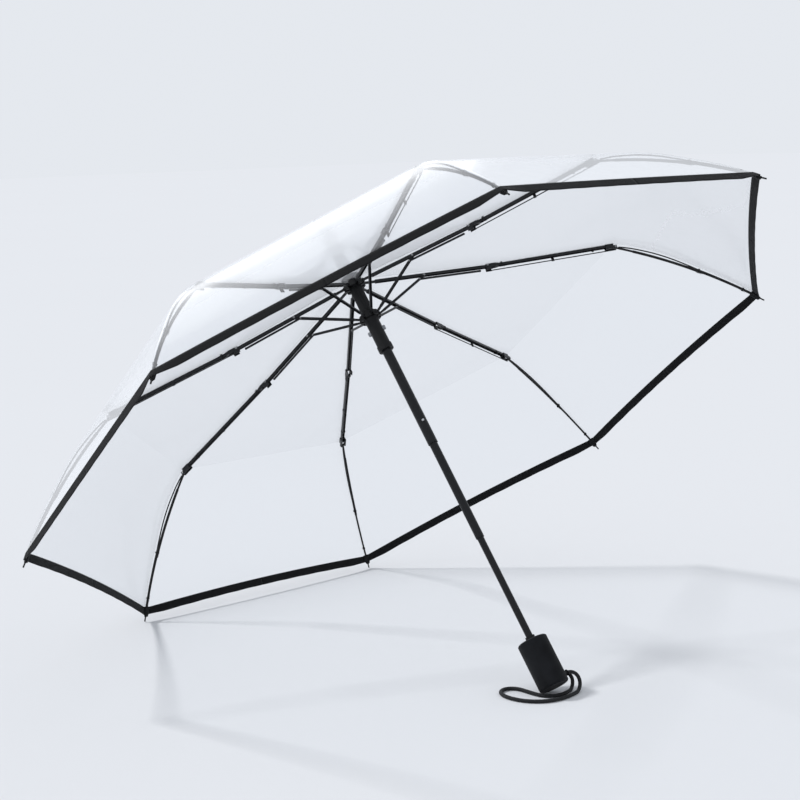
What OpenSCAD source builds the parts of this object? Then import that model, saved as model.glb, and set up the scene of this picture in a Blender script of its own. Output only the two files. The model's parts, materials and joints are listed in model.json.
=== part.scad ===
// Compact three-fold umbrella with a clear film canopy, open and resting on a floor.
//
// Everything is drawn in the umbrella's own frame: the shaft is the Z axis, the canopy's top
// centre is the origin and each rib folds in a vertical plane. leaned() then tips the umbrella
// until two rib pins and the handle's end stand on the floor, which is z = 0.

/* [Canopy] */
// Radius from the shaft to a rib tip
tip_r = 480; // [460:1:500]
// Depth of a rib tip below the canopy's top
tip_depth = 200.7; // [190:0.1:210]
// Thickness of the clear film
film_t = 0.3; // [0.2:0.05:0.5]
// Width of the woven edge binding
binding_w = 9; // [7:0.5:11]
// Thickness of the edge binding
binding_t = 1.2; // [0.8:0.1:2]
// How far the hem curves in between two ribs
hem_bow = 4; // [2:1:12]

/* [Ribs] */
// Radius of the ring that the ribs hang on
ring_r = 11; // [11:0.1:11.6]
// Depth of the crown ring below the canopy's top
ring_depth = 8; // [7.5:0.1:8.5]
// Radius of the joint between top rib and middle rib
knee_r = 168; // [160:1:172]
// Depth of that joint
knee_depth = 39.5; // [38:0.1:41]
// Radius of the joint between middle rib and outer rib
elbow_r = 337; // [325:1:345]
// Depth of that joint
elbow_depth = 67.5; // [66:0.1:69]
// Distance from the crown ring to the stretcher's pivot, along the top rib
stretcher_at = 78; // [76:0.5:80]
// Width of a rib channel
channel_w = 4.4; // [4.2:0.1:4.8]
// Height of a rib channel
channel_h = 3.4; // [3.2:0.1:3.8]
// Wall of the channels
channel_wall = 0.4; // [0.3:0.05:0.5]

/* [Shaft] */
// Outer radius of the top tube
top_tube_r = 6; // [5.8:0.1:6.2]
// Outer radius of the middle tube
mid_tube_r = 5; // [4.8:0.1:5.1]
// Outer radius of the bottom tube
low_tube_r = 4; // [3.8:0.1:4.1]
// Depth of the top tube's lower end
top_tube_end = 234; // [230:1:236]
// Travel of one telescoping stage
stage_travel = 125.5; // [118:0.5:126]

/* [Runner] */
// Depth of the runner's ring when the umbrella is open
runner_depth = 54.6; // [53:0.1:56]
// Length of the runner's barrel below its ring
barrel_len = 44.5; // [42:0.5:46]
// Depth of the catch on the top tube
catch_depth = 204; // [200:1:208]

/* [Handle] */
// Radius of the grip
grip_r = 17.5; // [16.5:0.5:18.5]
// Length of the grip
grip_len = 57; // [54:1:60]
// Rounding of the grip's rims
grip_round = 2.5; // [1.5:0.5:3.5]
// Radius of the wrist strap's cord
cord_r = 2.1; // [1.8:0.1:2.1]

/* [Hidden] */
$fn = 48;
ribs = 8;
pitch = 360 / ribs;
fold = [0, 1, 2, 3, 4, 5, 6, 7];
gap = 0.3; // clearance between pieces that move past each other
pin_r = 0.75;
eye_r = 0.82; // bore that turns on a pin
eye_out = 1.6; // outside of an eye

// Points in a rib's plane are [radius, height]
crown_pt = [ring_r, -ring_depth];
knee_pt = [knee_r, -knee_depth];
elbow_pt = [elbow_r, -elbow_depth];
tip_pt = [tip_r, -tip_depth];
runner_pt = [ring_r, -runner_depth];
function along(a, b, d) = a + (b - a) / norm(b - a) * d;
function beside(a, b, d) = [-(b - a)[1], (b - a)[0]] / norm(b - a) * d;
function aim(a, b) = atan2((b - a)[1], (b - a)[0]);
stretcher_pt = along(crown_pt, knee_pt, stretcher_at) + beside(crown_pt, knee_pt, -0.4);
knuckle_at = 8; // from the stretcher's pivot to the link bar's
knuckle_pt = along(stretcher_pt, runner_pt, knuckle_at);
knee_pin = knee_pt + beside(crown_pt, knee_pt, 1);
elbow_pin = elbow_pt + beside(knee_pt, elbow_pt, -3);

// The lean that sets the lowest pin and the grip's rim on the same floor
pin_out = 6; // the rib pin's length past the hem
pin_tip_r = 0.9;
pin_end = along(elbow_pt, tip_pt, norm(tip_pt - elbow_pt) + pin_out) + [0, -1.2];
collar_len = 5;
shaft_end = top_tube_end + 2 * (stage_travel + 1) + collar_len + grip_len;
foot_x = pin_end[0] * cos(pitch / 2) - (grip_r - grip_round);
foot_z = (shaft_end - grip_round) + pin_end[1];
foot_r = grip_round - pin_tip_r;
lean = atan2(foot_z, foot_x) + asin(foot_r / norm([foot_x, foot_z]));
rise = pin_end[0] * cos(pitch / 2) * sin(lean) - pin_end[1] * cos(lean) + pin_tip_r;
shift = -pin_end[1] * sin(lean);

top_names = [for (i = fold) str("top_rib_", i + 1)];
stretcher_names = [for (i = fold) str("stretcher_", i + 1)];
link_names = [for (i = fold) str("link_bar_", i + 1)];
middle_names = [for (i = fold) str("middle_rib_", i + 1)];
outer_names = [for (i = fold) str("outer_rib_", i + 1)];

module leaned() {
    translate([shift, 0, rise]) rotate([0, lean, 0]) children();
}

// Puts a rib-plane shape at rib i
module at_rib(i) {
    leaned() rotate([0, 0, pitch * (i + 0.5)]) children();
}

// Lays local x along the line from a to b in the rib's plane, with local z on the canopy side
module on_line(a, b) {
    translate([a[0], 0, a[1]]) rotate([0, -aim(a, b), 0]) children();
}

// A pin or a bore across the rib's plane
module cross_pin(p, r, w) {
    translate([p[0], 0, p[1]]) rotate([90, 0, 0]) cylinder(r = r, h = w, center = true);
}

// A bar of width w whose height runs from z0 to z1 and whose length runs from x0 to x1
module bar(x0, x1, z0, z1, w) {
    translate([x0, -w / 2, z0]) cube([x1 - x0, w, z1 - z0]);
}

// A channel that is open below, or above when up is true
module channel(x0, x1, w, h, wall, up = false) {
    difference() {
        bar(x0, x1, -h / 2, h / 2, w);
        if (up) bar(x0 - 1, x1 + 1, -h / 2 + wall, h, w - 2 * wall);
        else bar(x0 - 1, x1 + 1, -h, h / 2 - wall, w - 2 * wall);
    }
}

// ---- Ribs ----

tongue_w = 2.4;
fork_w = 6.6; // outside of the knee's fork
fork_in = channel_w + 2 * gap;

module top_rib(i) {
    len = norm(knee_pt - crown_pt);
    color("#1b1c1f") at_rib(i) difference() {
        union() {
            cross_pin(crown_pt, eye_out + 0.4, tongue_w);
            on_line(crown_pt, knee_pt) bar(0, 17, -1.3, 1.3, tongue_w);
            on_line(crown_pt, knee_pt) channel(15.5, len + 2.6, channel_w, channel_h, channel_wall);
            cross_pin(stretcher_pt, pin_r, channel_w + 1);
            cross_pin(knee_pin, pin_r, fork_w + 1);
        }
        cross_pin(crown_pt, 0.85, 10);
    }
}

stretcher_w = 3;
stretcher_h = 2.6;
stretcher_in = stretcher_w - 2 * channel_wall;

module stretcher(i) {
    len = norm(runner_pt - stretcher_pt);
    color("#202226") at_rib(i) difference() {
        union() {
            on_line(stretcher_pt, runner_pt)
                channel(0, len - 9, stretcher_w, stretcher_h, channel_wall, true);
            cross_pin(stretcher_pt, stretcher_h / 2, stretcher_w);
            on_line(stretcher_pt, runner_pt) bar(len - 10, len - 1.4, -1.2, 1.2, 2.2);
            cross_pin(knuckle_pt, pin_r, stretcher_w + gap);
        }
        cross_pin(stretcher_pt, eye_r, 10);
        on_line(stretcher_pt, runner_pt) bar(-3, 7, 0.9, 4, stretcher_in);
        // window below the link bar's eye
        on_line(stretcher_pt, runner_pt) bar(knuckle_at - 2.6, knuckle_at + 2.6, -4, -0.85, stretcher_in);
    }
}

link_w = 1.5;
link_h = 2.2;
link_len = norm(knee_pt - crown_pt) - stretcher_at - 4;

module link_bar(i) {
    away = knuckle_pt + (knee_pt - crown_pt);
    color("#191a1c") at_rib(i) difference() {
        union() {
            cross_pin(knuckle_pt, eye_out, link_w);
            on_line(knuckle_pt, away) bar(0, link_len, -link_h / 2, link_h / 2, link_w);
            cross_pin(along(knuckle_pt, away, link_len), link_h / 2 + 0.2, link_w);
        }
        cross_pin(knuckle_pt, eye_r, 10);
    }
}

wire_y = 2.9; // the pull wire runs beside the folded outer rib
wire_r = 0.65;

module middle_rib(i) {
    len = norm(elbow_pt - knee_pt);
    color("#1b1c1f") at_rib(i) difference() {
        union() {
            // fork over the top rib's end
            for (s = [-1, 1]) on_line(knee_pt, elbow_pt)
                translate([0, s * (fork_in + fork_w) / 4, 0])
                    bar(-2.4, 11, -2, 2.3, (fork_w - fork_in) / 2);
            on_line(knee_pt, elbow_pt) bar(10.2, 14, -1.7, 1.7, fork_w);
            // lever below the fork, which the link bar pushes
            on_line(knee_pt, elbow_pt) for (s = [-1, 1])
                translate([0, s * (fork_in + fork_w) / 4, 0])
                    bar(-2.4, 5, -5.6, -2, (fork_w - fork_in) / 2);
            on_line(knee_pt, elbow_pt) channel(13, len - 4, channel_w, channel_h, channel_wall);
            // elbow housing on the underside, with a slot for the outer rib
            on_line(knee_pt, elbow_pt) bar(len - 13, len - 2, -5, 1.7, 7);
            on_line(knee_pt, elbow_pt) bar(len - 4, len + 2, -5, -0.8, 7);
            // pull wire with its end hooks and the eyelet halfway
            on_line(knee_pt, elbow_pt) translate([4, wire_y, -4.6]) rotate([0, 90, 0])
                cylinder(r = wire_r, h = len - 14);
            on_line(knee_pt, elbow_pt) translate([len * 0.5, wire_y - 0.6, -5.6])
                cube([3.2, 1.7, 5.2]);
            cross_pin(elbow_pin, pin_r, 8);
        }
        cross_pin(knee_pin, eye_r, 20);
        // slot for the outer rib, which swings down and back under the channel
        on_line(knee_pt, elbow_pt) bar(len - 22, len + 4, -8, -0.6, 3.6);
    }
    color("#2c2e33") at_rib(i) cross_pin(elbow_pin, pin_r, 7.6);
}

rib_bow = 8; // how far the outer rib bows towards the canopy

// Arc of a round rod from a to b, bowed by s towards the canopy, from share t0 to t1
module bowed_rod(a, b, s, r, t0, t1) {
    half = norm(b - a) / 2;
    big = (half * half + s * s) / (2 * s);
    spread = 2 * asin(half / big);
    mid = (a + b) / 2 + beside(a, b, s - big);
    start = 90 + aim(a, b) + spread / 2;
    translate([mid[0], 0, mid[1]]) rotate([90, 0, 0])
        rotate([0, 0, start - spread * t1]) rotate_extrude(angle = spread * (t1 - t0))
            translate([big, 0]) circle(r = r);
}

module outer_rib(i) {
    color("#1b1c1f") at_rib(i) difference() {
        union() {
            cross_pin(elbow_pin, 1.7, 2.8);
            bowed_rod(elbow_pin, tip_pt, rib_bow, 1.35, 0, 0.15);
            bowed_rod(elbow_pin, tip_pt, rib_bow, 1.7, 0.12, 0.6);
            bowed_rod(elbow_pin, tip_pt, rib_bow, 1.2, 0.58, 1);
            // cap that holds the film's corner, and the pin past it
            on_line(tip_pt, pin_end) translate([-5, 0, 0]) rotate([0, 90, 0])
                cylinder(r = 1.5, h = 6);
            on_line(tip_pt, pin_end) rotate([0, 90, 0])
                cylinder(r = pin_tip_r, h = norm(pin_end - tip_pt));
        }
        cross_pin(elbow_pin, eye_r, 10);
    }
}

// ---- Canopy ----

// The film's line over a rib: crown, knee, elbow, then the outer rib's bow
film_lift = 2.6; // film above the ribs' centre line
elbow_top = elbow_pt + beside(knee_pt, elbow_pt, film_lift);
tip_top = along(tip_pt, elbow_pt, 0.5) + beside(elbow_pt, tip_pt, film_lift);
function bowed(a, b, s, t) = a + (b - a) * t + beside(a, b, 4 * s * t * (1 - t));
bow_steps = 8;
seam_rise = [0, 2, 2.8, 2.4, 1, 0.2, 0, 0, 0]; // the film stands off the rib past the elbow
film_line = concat(
    [[5, -0.4], [60, -12.4], [115, -24.8]],
    [knee_pt + beside(crown_pt, knee_pt, 3.4)],
    [[225, -46.2], [281, -55.6]],
    [for (k = [0 : bow_steps]) bowed(elbow_top, tip_top, rib_bow + 1.5, k / bow_steps)
        + beside(elbow_top, tip_top, 1) * seam_rise[k]]
);
across = 6; // steps from rib to rib
rows = len(film_line);
function smooth(t) = t * t * (3 - 2 * t);

// A point of the canopy: row j, share t from rib i to the next, moved down by drop
function hem_share(j) = smooth(max(0, (j - rows + bow_steps + 1) / bow_steps));
function canopy_pt(q, bow, i, t, drop) =
    let (
        a = pitch * (i + 0.5),
        b = a + pitch,
        flat = (1 - t) * [cos(a), sin(a)] + t * [cos(b), sin(b)],
        r = q[0] - bow * 4 * t * (1 - t)
    ) [flat[0] * r, flat[1] * r, q[1] + bow * 0.9 * 4 * t * (1 - t) - drop];

// Closed shell between an outer line and the same line moved down by thick
module shell(line, bows, thick) {
    n = len(line);
    m = ribs * across;
    function at(j, k, drop) =
        canopy_pt(line[j], bows[j], floor(k / across), (k % across) / across, drop);
    pts = concat(
        [for (j = [0 : n - 1]) for (k = [0 : m - 1]) at(j, k, 0)],
        [for (j = [0 : n - 1]) for (k = [0 : m - 1]) at(j, k, thick)]
    );
    low = n * m;
    function id(j, k) = j * m + k % m;
    upper = [for (j = [0 : n - 2]) for (k = [0 : m - 1]) each [
        [id(j, k), id(j + 1, k + 1), id(j + 1, k)],
        [id(j, k), id(j, k + 1), id(j + 1, k + 1)]
    ]];
    lower = [for (f = upper) [low + f[0], low + f[2], low + f[1]]];
    inner = [for (k = [0 : m - 1]) each [
        [id(0, k), low + id(0, k), low + id(0, k + 1)],
        [id(0, k), low + id(0, k + 1), id(0, k + 1)]
    ]];
    outer = [for (k = [0 : m - 1]) each [
        [id(n - 1, k), low + id(n - 1, k + 1), low + id(n - 1, k)],
        [id(n - 1, k), id(n - 1, k + 1), low + id(n - 1, k + 1)]
    ]];
    polyhedron(points = pts, faces = concat(upper, lower, inner, outer), convexity = 8);
}

last = rows - 1;
hem_in = along(film_line[last], film_line[last - 1], binding_w);
film_rows = concat([for (j = [0 : last - 1]) film_line[j]], [hem_in]);
function bow_at(j) = hem_bow * hem_share(j);
film_bows = concat([for (j = [0 : last - 1]) bow_at(j)], [hem_bow * 0.9]);

module canopy_film() {
    color("#e8f0f5", 0.35) leaned() shell(film_rows, film_bows, film_t);
}

module edge_binding() {
    color("#121214") leaned()
        shell([hem_in, film_line[last]], [hem_bow * 0.9, hem_bow], binding_t);
}

// ---- Crown ----

module top_cap() {
    color("#141416") leaned() rotate_extrude() translate([0, 0.3]) intersection() {
        translate([0, -20.5]) circle(r = 27);
        square([12, 8]);
    }
    color("#141416") leaned() translate([0, 0, -1.6]) cylinder(r = 4.2, h = 2.2);
}

module crown_notch() {
    color("#17181a") leaned() difference() {
        translate([0, 0, -ring_depth - 3.4]) cylinder(r = ring_r + 3, h = 6.6);
        translate([0, 0, -ring_depth - 4]) cylinder(r = top_tube_r, h = 4.6);
        for (i = fold) rotate([0, 0, pitch * (i + 0.5)])
            translate([8, -1.6, -ring_depth - 5]) cube([10, 3.2, 12]);
        translate([0, 0, -ring_depth]) rotate_extrude() translate([ring_r, 0]) circle(r = pin_r);
    }
}

module crown_ring_wire() {
    color("#8d9096") leaned() translate([0, 0, -ring_depth])
        rotate_extrude() translate([ring_r, 0]) circle(r = pin_r);
}

// ---- Shaft ----

module tube(outer, wall, z0, z1) {
    translate([0, 0, z0]) difference() {
        cylinder(r = outer, h = z1 - z0);
        translate([0, 0, -1]) cylinder(r = outer - wall, h = z1 - z0 + 2);
    }
}

module top_tube() {
    color("#101113") leaned() tube(top_tube_r, 0.5, -top_tube_end, -ring_depth + 0.6);
}

sleeve_r = 7.8;
flutes = 14;
module shaft_sleeve() {
    color("#18191c") leaned() difference() {
        tube(sleeve_r, sleeve_r - top_tube_r, -runner_depth + 8, -ring_depth - 3.4);
        for (k = [0 : flutes - 1]) rotate([0, 0, 360 / flutes * k])
            translate([sleeve_r + 0.3, 0, -runner_depth]) cylinder(r = 0.75, h = 60);
    }
}

catch_dir = 155;
catch_r = 1.8;
catch_out = 1; // how far the catch stands proud of the tube
catch_seat = 0.4;
module tube_catch() {
    color("#5a5d63") leaned() rotate([0, 0, catch_dir])
        translate([top_tube_r - catch_seat, 0, -catch_depth]) rotate([0, 90, 0])
            cylinder(r1 = catch_r, r2 = catch_r - 0.6, h = catch_seat + catch_out);
}

overlap_len = 14; // how much of a tube stays in the next one
mid_top = -top_tube_end + overlap_len;
mid_end = -top_tube_end - stage_travel - 1;
module middle_tube() {
    color("#0f1012") leaned() tube(mid_tube_r, 0.5, mid_end, mid_top);
}

low_top = mid_end + overlap_len;
grip_top = -shaft_end + grip_len;
module bottom_tube() {
    color("#0f1012") leaned() tube(low_tube_r, 0.5, grip_top - 30, low_top);
}

// A ring of points that is swept along a helix: a coil spring about the Z axis
module coil(r, wire, z0, z1, turns) {
    steps = turns * 10;
    sides = 6;
    function ring(k) = let (a = 36 * k, z = z0 + (z1 - z0) * k / steps)
        [for (s = [0 : sides - 1]) let (c = r + wire * cos(60 * s))
            [c * cos(a), c * sin(a), z + wire * sin(60 * s)]];
    pts = [for (k = [0 : steps]) each ring(k)];
    skin = [for (k = [0 : steps - 1]) for (s = [0 : sides - 1])
        let (a = k * sides + s, b = k * sides + (s + 1) % sides)
        each [[a, b, b + sides], [a, b + sides, a + sides]]];
    ends = [[for (s = [0 : sides - 1]) sides - 1 - s], [for (s = [0 : sides - 1]) steps * sides + s]];
    polyhedron(points = pts, faces = concat(skin, ends), convexity = 6);
}

module opening_spring() {
    color("#9a9da3") leaned() coil(2.6, 0.4, grip_top - 24, grip_top + 90, 22);
}

// ---- Runner ----

ring_half = 3.4; // half the height of the two toothed rings
module runner_head() {
    color("#17181a") leaned() translate([0, 0, -runner_depth]) difference() {
        union() {
            translate([0, 0, -ring_half]) cylinder(r = ring_r + 2.6, h = 2 * ring_half - 0.2);
            translate([0, 0, 3]) cylinder(r = 8.6, h = 4.4);
        }
        translate([0, 0, -5]) cylinder(r = runner_bore, h = 20);
        for (i = fold) rotate([0, 0, pitch * (i + 0.5)])
            translate([8.2, -1.6, -5]) cube([10, 3.2, 12]);
    }
}

runner_bore = top_tube_r + 0.08;
barrel_r = 8.4;
lug_r = 3;
lug_depth = 20; // below the runner's ring
lug_seat = 1.2;

// Puts a lug's shape at both sides of the barrel, with local z pointing outwards
module at_lugs() {
    for (a = [45, 225]) rotate([0, 0, a])
        translate([barrel_r - lug_seat, 0, -runner_depth - lug_depth]) rotate([0, 90, 0]) children();
}

module runner_barrel() {
    color("#141517") leaned() difference() {
        translate([0, 0, -runner_depth - ring_half]) union() {
            translate([0, 0, -barrel_len]) cylinder(r = barrel_r, h = barrel_len);
            translate([0, 0, -barrel_len]) cylinder(r = barrel_r + 1, h = 7);
            translate([0, 0, -5]) cylinder(r1 = barrel_r, r2 = barrel_r + 1.2, h = 5);
        }
        translate([0, 0, -runner_depth - barrel_len - 10]) cylinder(r = runner_bore, h = barrel_len + 20);
        // keyway that lets the barrel pass over the catch
        rotate([0, 0, catch_dir]) translate([0, -catch_r - gap, -runner_depth - barrel_len - 10])
            cube([top_tube_r + catch_out + gap, 2 * (catch_r + gap), barrel_len + 20]);
        at_lugs() cylinder(r = lug_r, h = 2 * lug_seat);
    }
}

module runner_lugs() {
    color("#3d4046") leaned() at_lugs() {
        cylinder(r = lug_r, h = lug_seat + 2.2);
        translate([0, 0, lug_seat + 2.2]) cylinder(r1 = lug_r, r2 = lug_r - 0.9, h = 0.9);
    }
}

// ---- Handle ----

module handle_collar() {
    color("#0d0e10") leaned() tube(low_tube_r + 1.6, 1.6, grip_top, grip_top + collar_len);
}

button_dir = -30; // the button faces the floor beside the strap
button_z = grip_top - 17;
button_r = 5.4;
cap_len = 6;
grip_edge = 1.2;

module handle_grip() {
    color("#17181b") leaned() difference() {
        union() {
            translate([0, 0, grip_top - grip_len + cap_len])
                cylinder(r = grip_r, h = grip_len - cap_len - grip_edge);
            translate([0, 0, grip_top - grip_edge])
                cylinder(r1 = grip_r, r2 = grip_r - grip_edge, h = grip_edge);
        }
        translate([0, 0, grip_top - 30]) cylinder(r = low_tube_r, h = 40);
        rotate([0, 0, button_dir]) translate([grip_r - 9, 0, button_z]) rotate([0, 90, 0])
            cylinder(r = button_r + gap, h = 20);
    }
}

module end_cap() {
    color("#101113") leaned() translate([0, 0, -shaft_end]) {
        translate([0, 0, grip_round]) cylinder(r = grip_r, h = cap_len - grip_round);
        rotate_extrude() translate([grip_r - grip_round, grip_round]) intersection() {
            circle(r = grip_round);
            translate([0, -grip_round]) square([grip_round, grip_round]);
        }
        cylinder(r = grip_r - grip_round, h = grip_round);
    }
}

button_travel = 2.5;
module push_button() {
    color("#25272b") leaned() rotate([0, 0, button_dir]) translate([grip_r - 4.5, 0, button_z])
        rotate([0, 90, 0]) {
            cylinder(r = button_r, h = 5);
            translate([0, 0, 5]) cylinder(r1 = button_r, r2 = button_r - 1, h = 0.9);
        }
}

module button_spring() {
    color("#9a9da3") leaned() rotate([0, 0, button_dir]) translate([grip_r, 0, button_z])
        rotate([0, 90, 0]) coil(3, 0.35, -8.6, -4.9, 3);
}

// Wrist strap: out of the grip's side, over to the floor, round an open loop and back in
strap_route = [
    [-213.5, -13, 22.4], [-214.8, -21, 22.4], [-216.5, -26, 21], [-218.4, -29.7, 17.4],
    [-220.4, -31.1, 12.3], [-222.4, -29.7, 7.3], [-224.3, -26, 3.6], [-226, -21, 2.2],
    [-228.1, -12.5, 2.2], [-229.2, -3, 2.2], [-228.8, 7, 2.2], [-226, 18, 2.2], [-219.5, 29, 2.2],
    [-209.5, 38, 2.2], [-198, 43.2, 2.2], [-186.5, 45.2, 2.2], [-175.5, 43.8, 2.2], [-167.7, 39, 2.2],
    [-164.6, 31, 2.2], [-167.6, 23.1, 2.2], [-175.2, 18.6, 2.2], [-185.5, 17.4, 2.2],
    [-196, 16.7, 2.2], [-206.4, 14.8, 2.2], [-214.6, 9.5, 2.2], [-218.8, 1.8, 2.2], [-220, -6, 2.2],
    [-218.7, -13.6, 2.2], [-216.4, -20.5, 2.2], [-214.2, -24.9, 3.4], [-212.4, -28.2, 6.6],
    [-210.8, -29.4, 11.1], [-209.2, -28.2, 15.5], [-207.8, -24.9, 18.7], [-206.6, -20.5, 19.9],
    [-206, -13, 19.9]
];
route_steps = 2;
function curve_pt(p, i, t) =
    let (n = len(p), a = p[max(i - 1, 0)], b = p[i], c = p[min(i + 1, n - 1)], d = p[min(i + 2, n - 1)])
    0.5 * (2 * b + (c - a) * t + (2 * a - 5 * b + 4 * c - d) * t * t
        + (3 * b - a - 3 * c + d) * t * t * t);
function unit(v) = v / norm(v);

module cord_tube(route, r) {
    sides = 8;
    n = (len(route) - 1) * route_steps;
    line = concat(
        [for (k = [0 : n - 1])
            curve_pt(route, floor(k / route_steps), (k % route_steps) / route_steps)],
        [route[len(route) - 1]]
    );
    function ahead(k) = unit(line[min(k + 1, n)] - line[max(k - 1, 0)]);
    function ring(k) =
        let (f = ahead(k), u = unit(cross(f, [0.13, 0.2, 1])), v = cross(f, u))
        [for (s = [0 : sides - 1]) let (a = 360 / sides * s) line[k] + r * (u * cos(a) + v * sin(a))];
    pts = [for (k = [0 : n]) each ring(k)];
    skin = [for (k = [0 : n - 1]) for (s = [0 : sides - 1])
        let (a = k * sides + s, b = k * sides + (s + 1) % sides)
        each [[a, b + sides, b], [a, a + sides, b + sides]]];
    ends = [[for (s = [0 : sides - 1]) s], [for (s = [0 : sides - 1]) n * sides + sides - 1 - s]];
    polyhedron(points = pts, faces = concat(skin, ends), convexity = 8);
}

module wrist_strap() {
    color("#0c0c0e") cord_tube(strap_route, cord_r);
}

top_cap();
crown_notch();
crown_ring_wire();
top_tube();
shaft_sleeve();
tube_catch();
canopy_film();
edge_binding();
runner_head();
runner_barrel();
runner_lugs();
middle_tube();
bottom_tube();
opening_spring();
handle_collar();
handle_grip();
end_cap();
push_button();
button_spring();
wrist_strap();
for (i = fold) {
    top_rib(i);
    stretcher(i);
    link_bar(i);
    middle_rib(i);
    outer_rib(i);
}
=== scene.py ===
# %% [markdown]
# A compact umbrella with a clear canopy lies open on a studio floor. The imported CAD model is
# loaded first as a fixed frame. It already holds the ribs, tubes, runner and grip, so what is
# made here is what CAD can't give: soft film, woven tape, cord, thread, and every finish.

# %% Load the frame
import math

import bpy
from mathutils import Matrix, Vector
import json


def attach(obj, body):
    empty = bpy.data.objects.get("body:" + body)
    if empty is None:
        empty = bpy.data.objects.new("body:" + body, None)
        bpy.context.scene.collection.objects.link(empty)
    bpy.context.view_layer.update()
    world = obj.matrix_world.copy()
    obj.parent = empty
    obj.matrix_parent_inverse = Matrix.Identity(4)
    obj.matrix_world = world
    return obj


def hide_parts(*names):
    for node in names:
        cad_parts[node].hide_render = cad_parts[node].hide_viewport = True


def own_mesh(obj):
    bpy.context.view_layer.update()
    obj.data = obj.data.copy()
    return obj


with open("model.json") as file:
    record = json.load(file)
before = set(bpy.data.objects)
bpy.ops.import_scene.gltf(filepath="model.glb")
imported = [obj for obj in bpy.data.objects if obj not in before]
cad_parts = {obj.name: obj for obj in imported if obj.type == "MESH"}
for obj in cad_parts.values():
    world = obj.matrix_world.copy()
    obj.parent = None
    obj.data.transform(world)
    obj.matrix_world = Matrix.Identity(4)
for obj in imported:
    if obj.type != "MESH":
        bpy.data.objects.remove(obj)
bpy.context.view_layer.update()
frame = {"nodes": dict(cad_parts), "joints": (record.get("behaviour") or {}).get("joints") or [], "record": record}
MM = 0.001

# %% [markdown]
# The camera comes before any piece. It stands low beside the umbrella and looks under the
# canopy, with a long lens, so that the near ribs don't look much larger than the far ones. Its
# directions are given as vectors, because a matrix built from them can't roll or drift as
# stacked angles can.

# %% Camera
LENS_MM = 72.3
eye = Vector((-1.4221, 1.1938, 0.6100))
ahead = Vector((0.76485, -0.62380, -0.16094)).normalized()
right = Vector((-0.63539, -0.77170, -0.02866))
right = (right - ahead * right.dot(ahead)).normalized()
above = right.cross(ahead)

lens = bpy.data.cameras.new("camera")
lens.lens = LENS_MM
lens.sensor_width = 36
lens.clip_end = 60
camera = bpy.data.objects.new("camera", lens)
bpy.context.scene.collection.objects.link(camera)
camera.matrix_world = Matrix(
    [(right[k], above[k], -ahead[k], eye[k]) for k in range(3)] + [(0, 0, 0, 1)]
)
bpy.context.scene.camera = camera
print("camera at", [round(x, 3) for x in camera.matrix_world.translation])

# %% [markdown]
# Every rib lies in its own plane through the shaft. The shaft leans, so one matrix takes a
# point in a rib's plane (out from the shaft, sideways, along the shaft) to the floor's frame.
# The lean is read from the runner's joint and the ring's centre from the ribs' hinges.

# %% The umbrella's own frame
RIBS = 8
PITCH = 360 / RIBS
RING_DEPTH = 8 * MM
joints = {j["name"]: j for j in frame["joints"]}
shaft_up = -Vector(joints["canopy_fold"]["axis"]).normalized()
LEAN = math.atan2(shaft_up.x, shaft_up.z)
hinges = [Vector(joints[f"top_rib_{n}_fold"]["pos_m"]) for n in range(1, RIBS + 1)]
top = sum(hinges, Vector()) / RIBS + shaft_up * RING_DEPTH
UMBRELLA = Matrix.Translation(top) @ Matrix.Rotation(LEAN, 4, "Y")


def rib_matrix(n, share=0.0):
    """From a rib's plane to the floor's frame; share moves it towards the next rib."""
    return UMBRELLA @ Matrix.Rotation(math.radians(PITCH * (n - 0.5 + share)), 4, "Z")


print("lean", round(math.degrees(LEAN), 2), "canopy top", [round(x, 3) for x in top])


# %% [markdown]
# Shader maths reads best as plain sums. A small class wraps a node's output and turns +, -, *
# and ** into Math nodes, and a Finish makes any other node from its type, its settings and
# its inputs. A finish is then a few lines that say what the surface does.

# %% Shader sums
class Value:
    def __init__(self, finish, socket):
        self.finish, self.socket = finish, socket

    def _sum(self, operation, first, second):
        return self.finish.make("Math", {"operation": operation}, {0: first, 1: second})

    def __add__(self, other):
        return self._sum("ADD", self, other)

    def __sub__(self, other):
        return self._sum("SUBTRACT", self, other)

    def __rsub__(self, other):
        return self._sum("SUBTRACT", other, self)

    def __mul__(self, other):
        return self._sum("MULTIPLY", self, other)

    def __pow__(self, other):
        return self._sum("POWER", self, other)

    __radd__, __rmul__ = __add__, __mul__

    def step(self, low, high):
        """0 below low, 1 above high, and smooth between them."""
        return self.finish.make(
            "MapRange", {"interpolation_type": "SMOOTHSTEP"}, {0: self, 1: low, 2: high}
        )

    def wave(self, length):
        """Goes from 0 to 1 and back once in each length."""
        turn = self * (2 * math.pi / length)
        return self.finish.make("Math", {"operation": "SINE"}, {0: turn}) * 0.5 + 0.5

    def away(self):
        return self.finish.make("Math", {"operation": "ABSOLUTE"}, {0: self})


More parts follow.
